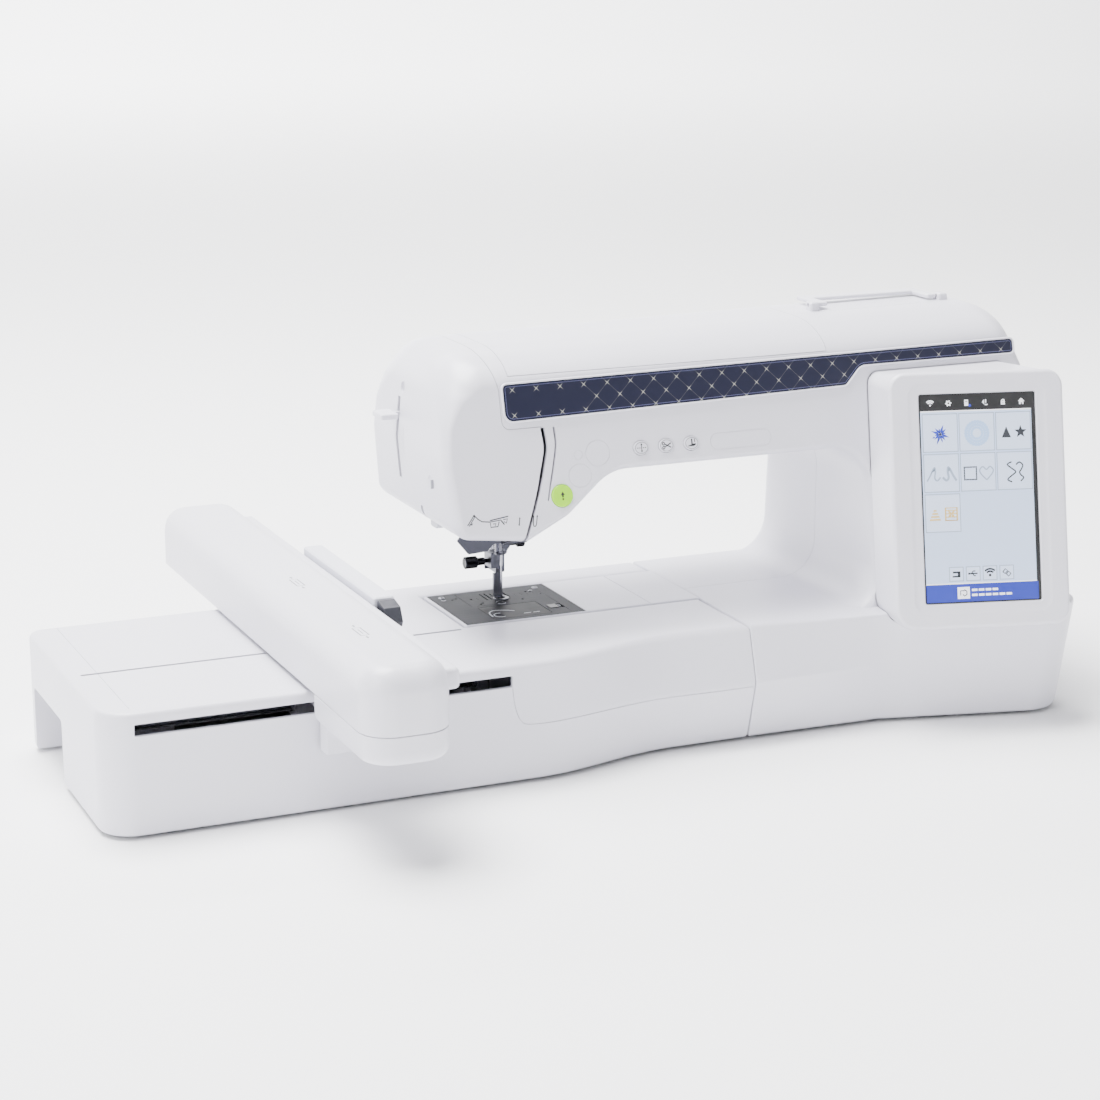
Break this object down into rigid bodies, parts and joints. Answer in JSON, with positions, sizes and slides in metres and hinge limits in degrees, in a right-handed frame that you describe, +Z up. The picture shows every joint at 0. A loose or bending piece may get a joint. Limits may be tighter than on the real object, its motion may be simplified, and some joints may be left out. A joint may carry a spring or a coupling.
{
  "type": "computerised sewing and embroidery machine",
  "caption": "Computerised sewing machine with a leaning touch screen, long arm and an embroidery unit whose carriage spans the bed.",
  "frame": {"origin": "on the table, at the middle of the footprint", "axes": "+X along the arm towards the screen and handwheel, +Y to the rear, +Z up"},
  "size_m": [0.7646, 0.486, 0.3003],
  "materials": {
    "front_shell": "satin white ABS",
    "rear_shell": "satin white ABS",
    "face_cover": "satin white ABS",
    "top_lid": "satin white ABS",
    "carry_handle": "satin white ABS",
    "trim_strip": "navy film print with fine lattice under clear lacquer",
    "screen_housing": "satin white ABS",
    "screen_glass": "lit touch panel behind glass",
    "base_plate": "grey painted steel",
    "foot_front_left": "dark rubber",
    "foot_front_right": "dark rubber",
    "foot_rear_right": "dark rubber",
    "foot_free_arm": "dark rubber",
    "free_arm_cover": "satin white ABS",
    "needle_plate": "dark grey coated steel",
    "bobbin_cover": "smoked clear plastic",
    "cover_latch": "black acetal",
    "rotary_hook": "ground steel",
    "bobbin_case": "black plastic",
    "bobbin": "clear plastic",
    "feed_dog": "hardened steel",
    "needle_bar": "ground steel",
    "needle_clamp": "dark nickel",
    "needle": "polished nickel",
    "presser_bar": "ground steel",
    "embroidery_foot": "nickel plated",
    "foot_screw": "black oxide",
    "threader_bracket": "dark zinc plate",
    "threader_lever": "satin white ABS",
    "presser_lever": "grey nylon",
    "take_up_lever": "polished steel",
    "upper_shaft": "turned steel",
    "upper_pulley": "grey nylon",
    "lower_shaft": "turned steel",
    "main_motor": "black painted can",
    "motor_rotor": "turned steel",
    "timing_belt": "black neoprene",
    "handwheel": "satin white ABS",
    "chassis": "die cast",
    "spool_tray": "satin white ABS",
    "spool_pin": "satin white ABS",
    "power_inlet": "black nylon",
    "power_switch": "black nylon",
    "start_stop_button": "lit lime green cap",
    "needle_position_button": "satin white ABS",
    "thread_cutter_button": "satin white ABS",
    "presser_foot_button": "satin white ABS",
    "unit_case": "satin white ABS",
    "unit_base_plate": "grey ABS",
    "x_rail": "ground steel",
    "x_motor": "black painted can",
    "unit_foot_front": "dark rubber",
    "unit_foot_rear": "dark rubber",
    "unit_release_lever": "grey ABS",
    "carriage_bracket": "satin white ABS",
    "carriage_cover": "satin white ABS",
    "carriage_lower_cover": "satin white ABS",
    "carriage_rail": "extruded",
    "frame_holder": "satin pale grey ABS",
    "frame_lever": "black acetal"
  },
  "bodies": {
    "machine": {"front_shell": "front_shell", "rear_shell": "rear_shell", "face_cover": "face_cover", "trim_strip": "trim_strip", "screen_housing": "screen_housing", "screen_glass": "screen_glass", "base_plate": "base_plate", "foot_front_left": "foot_front_left", "foot_front_right": "foot_front_right", "foot_rear_right": "foot_rear_right", "foot_free_arm": "foot_free_arm", "free_arm_cover": "free_arm_cover", "needle_plate": "needle_plate", "bobbin_case": "bobbin_case", "threader_bracket": "threader_bracket", "main_motor": "main_motor", "timing_belt": "timing_belt", "chassis": "chassis", "spool_tray": "spool_tray", "spool_pin": "spool_pin", "power_inlet": "power_inlet"},
    "top_lid": {"top_lid": "top_lid"},
    "carry_handle": {"carry_handle": "carry_handle"},
    "threader_lever": {"threader_lever": "threader_lever"},
    "start_stop_button": {"start_stop_button": "start_stop_button"},
    "needle_position_button": {"needle_position_button": "needle_position_button"},
    "thread_cutter_button": {"thread_cutter_button": "thread_cutter_button"},
    "presser_foot_button": {"presser_foot_button": "presser_foot_button"},
    "bobbin_cover": {"bobbin_cover": "bobbin_cover"},
    "cover_latch": {"cover_latch": "cover_latch"},
    "feed_dog": {"feed_dog": "feed_dog"},
    "needle_bar": {"needle_bar": "needle_bar", "needle_clamp": "needle_clamp", "needle": "needle"},
    "presser": {"presser_bar": "presser_bar", "embroidery_foot": "embroidery_foot", "foot_screw": "foot_screw"},
    "presser_lever": {"presser_lever": "presser_lever"},
    "take_up_lever": {"take_up_lever": "take_up_lever"},
    "upper_drive": {"upper_shaft": "upper_shaft", "upper_pulley": "upper_pulley", "handwheel": "handwheel"},
    "lower_drive": {"lower_shaft": "lower_shaft"},
    "rotary_hook": {"rotary_hook": "rotary_hook"},
    "motor_rotor": {"motor_rotor": "motor_rotor"},
    "bobbin": {"bobbin": "bobbin"},
    "power_switch": {"power_switch": "power_switch"},
    "unit": {"unit_case": "unit_case", "unit_base_plate": "unit_base_plate", "x_rail": "x_rail", "x_motor": "x_motor", "unit_foot_front": "unit_foot_front", "unit_foot_rear": "unit_foot_rear"},
    "unit_release_lever": {"unit_release_lever": "unit_release_lever"},
    "carriage": {"carriage_bracket": "carriage_bracket", "carriage_cover": "carriage_cover", "carriage_lower_cover": "carriage_lower_cover", "carriage_rail": "carriage_rail"},
    "frame_holder": {"frame_holder": "frame_holder"},
    "frame_lever": {"frame_lever": "frame_lever"}
  },
  "joints": [
    {"name": "top_lid_hinge", "type": "hinge", "parent": "machine", "child": "top_lid", "pos_m": [0.05865, 0.08931, 0.2745], "axis": [-1, 0, 0], "range_deg": [0, 75]},
    {"name": "carry_handle_fold", "type": "hinge", "parent": "machine", "child": "carry_handle", "pos_m": [0.26865, 0.018, 0.2978], "axis": [1, 0, 0], "range_deg": [0, 95]},
    {"name": "start_stop_button_press", "type": "slide", "parent": "machine", "child": "start_stop_button", "axis": [0, 0.9701, -0.2425], "range_m": [0, 0.0011], "stiffness_N_per_m": 250},
    {"name": "needle_position_button_press", "type": "slide", "parent": "machine", "child": "needle_position_button", "axis": [0, 0.9701, -0.2425], "range_m": [0, 0.0011], "stiffness_N_per_m": 250},
    {"name": "thread_cutter_button_press", "type": "slide", "parent": "machine", "child": "thread_cutter_button", "axis": [0, 0.9701, -0.2425], "range_m": [0, 0.0011], "stiffness_N_per_m": 250},
    {"name": "presser_foot_button_press", "type": "slide", "parent": "machine", "child": "presser_foot_button", "axis": [0, 0.9701, -0.2425], "range_m": [0, 0.0011], "stiffness_N_per_m": 250},
    {"name": "threader_lever_pull", "type": "slide", "parent": "machine", "child": "threader_lever", "axis": [0, 0, -1], "range_m": [0, 0.04], "stiffness_N_per_m": 30},
    {"name": "bobbin_cover_lift", "type": "slide", "parent": "machine", "child": "bobbin_cover", "axis": [0, 0, 1], "range_m": [0, 0.03]},
    {"name": "cover_latch_slide", "type": "slide", "parent": "machine", "child": "cover_latch", "axis": [1, 0, 0], "range_m": [0, 0.004], "stiffness_N_per_m": 100},
    {"name": "feed_dog_lift", "type": "slide", "parent": "machine", "child": "feed_dog", "axis": [0, 0, 1], "range_m": [0, 0.0045]},
    {"name": "needle_bar_stroke", "type": "slide", "parent": "machine", "child": "needle_bar", "axis": [0, 0, -1], "range_m": [0, 0.0265]},
    {"name": "presser_lever_lift", "type": "hinge", "parent": "machine", "child": "presser_lever", "pos_m": [-0.03835, 0.08, 0.2], "axis": [1, 0, 0], "range_deg": [0, 40]},
    {"name": "presser_bar_lift", "type": "slide", "parent": "machine", "child": "presser", "axis": [0, 0, 1], "range_m": [0, 0.006]},
    {"name": "take_up_swing", "type": "hinge", "parent": "machine", "child": "take_up_lever", "pos_m": [-0.01685, 0.018, 0.268], "axis": [-1, 0, 0], "range_deg": [-40, 12]},
    {"name": "handwheel_turn", "type": "hinge", "parent": "machine", "child": "upper_drive", "pos_m": [0.36865, 0.035, 0.245], "axis": [1, 0, 0], "continuous": true},
    {"name": "lower_shaft_turn", "type": "hinge", "parent": "machine", "child": "lower_drive", "pos_m": [0.09865, 0.036, 0.0445], "axis": [1, 0, 0], "continuous": true},
    {"name": "hook_turn", "type": "hinge", "parent": "machine", "child": "rotary_hook", "pos_m": [-0.03835, 0.012, 0.0555], "axis": [0, 0, 1], "continuous": true},
    {"name": "motor_turn", "type": "hinge", "parent": "machine", "child": "motor_rotor", "pos_m": [0.32565, -0.025, 0.05], "axis": [1, 0, 0], "continuous": true},
    {"name": "bobbin_turn", "type": "hinge", "parent": "machine", "child": "bobbin", "pos_m": [-0.03835, 0.012, 0.065], "axis": [0, 0, 1], "continuous": true},
    {"name": "power_switch_rock", "type": "hinge", "parent": "machine", "child": "power_switch", "pos_m": [0.35865, 0.046, 0.071], "axis": [0, 1, 0], "range_deg": [-6, 6]},
    {"name": "unit_slide_off", "type": "slide", "parent": "machine", "child": "unit", "axis": [-1, 0, 0], "range_m": [0, 0.2]},
    {"name": "unit_release_press", "type": "hinge", "parent": "unit", "child": "unit_release_lever", "pos_m": [-0.31835, 0.04, 0.0515], "axis": [0, 1, 0], "range_deg": [0, 12], "stiffness_Nm_per_rad": 0.05},
    {"name": "carriage_x_travel", "type": "slide", "parent": "unit", "child": "carriage", "axis": [1, 0, 0], "range_m": [-0.122, 0.083]},
    {"name": "frame_holder_y_travel", "type": "slide", "parent": "carriage", "child": "frame_holder", "axis": [0, 1, 0], "range_m": [-0.14, 0.115]},
    {"name": "frame_lever_lift", "type": "hinge", "parent": "frame_holder", "child": "frame_lever", "pos_m": [-0.15935, -0.0435, 0.1215], "axis": [-1, 0, 0], "range_deg": [0, 70]}
  ],
  "couplings": [
    {"joint": "lower_shaft_turn", "follows": "handwheel_turn", "ratio": 1},
    {"joint": "hook_turn", "follows": "handwheel_turn", "ratio": 2},
    {"joint": "motor_turn", "follows": "handwheel_turn", "ratio": 2.25}
  ]
}
